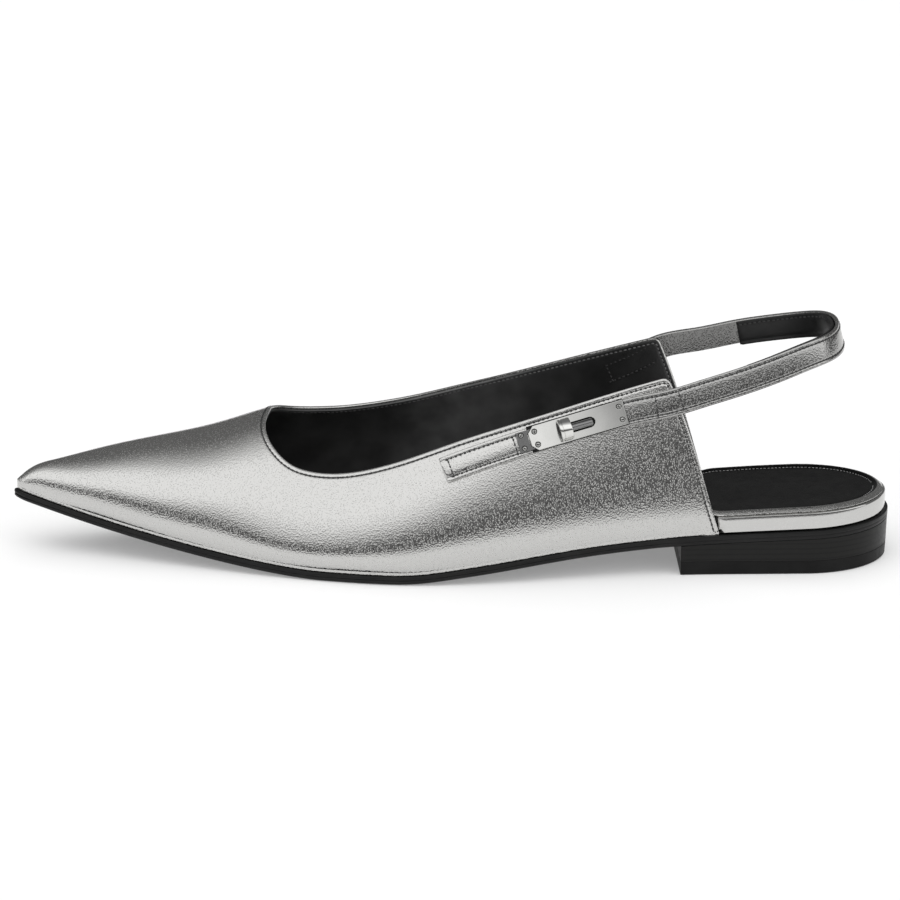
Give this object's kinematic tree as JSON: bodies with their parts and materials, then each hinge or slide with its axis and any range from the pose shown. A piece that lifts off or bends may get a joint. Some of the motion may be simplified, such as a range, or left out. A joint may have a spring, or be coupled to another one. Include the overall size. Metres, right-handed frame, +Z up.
{
  "type": "sling back flat",
  "caption": "Pointed sling back flat in silver leather with a low block heel and a turn lock on its strap.",
  "frame": {"origin": "on the floor, under the middle of the shoe's length and width", "axes": "+Z up, toe towards -X, heel towards +X, outer (lateral) side towards -Y"},
  "size_m": [0.2768, 0.0746, 0.0749],
  "materials": {
    "silver_leather": "metallic",
    "black_leather": "satin",
    "sole_leather": "satin",
    "heel_stack": "satin",
    "top_piece": "matte",
    "polished_plate": "polished",
    "dark_plate": "satin"
  },
  "bodies": {
    "root": {"outsole": "sole_leather", "heel_block": "heel_stack", "heel_top_piece": "top_piece", "insole_board": "silver_leather", "insole": "black_leather", "upper": "silver_leather", "side_tab": "silver_leather", "sling_strap": "silver_leather", "strap_lining": "black_leather", "lock_plate": "polished_plate", "lock_end_plate": "dark_plate", "lock_knob": "polished_plate", "lock_screw_1": "polished_plate", "lock_screw_2": "polished_plate", "lock_screw_3": "polished_plate", "lock_screw_4": "polished_plate", "lock_screw_5": "polished_plate", "lock_screw_6": "polished_plate"}
  },
  "joints": []
}
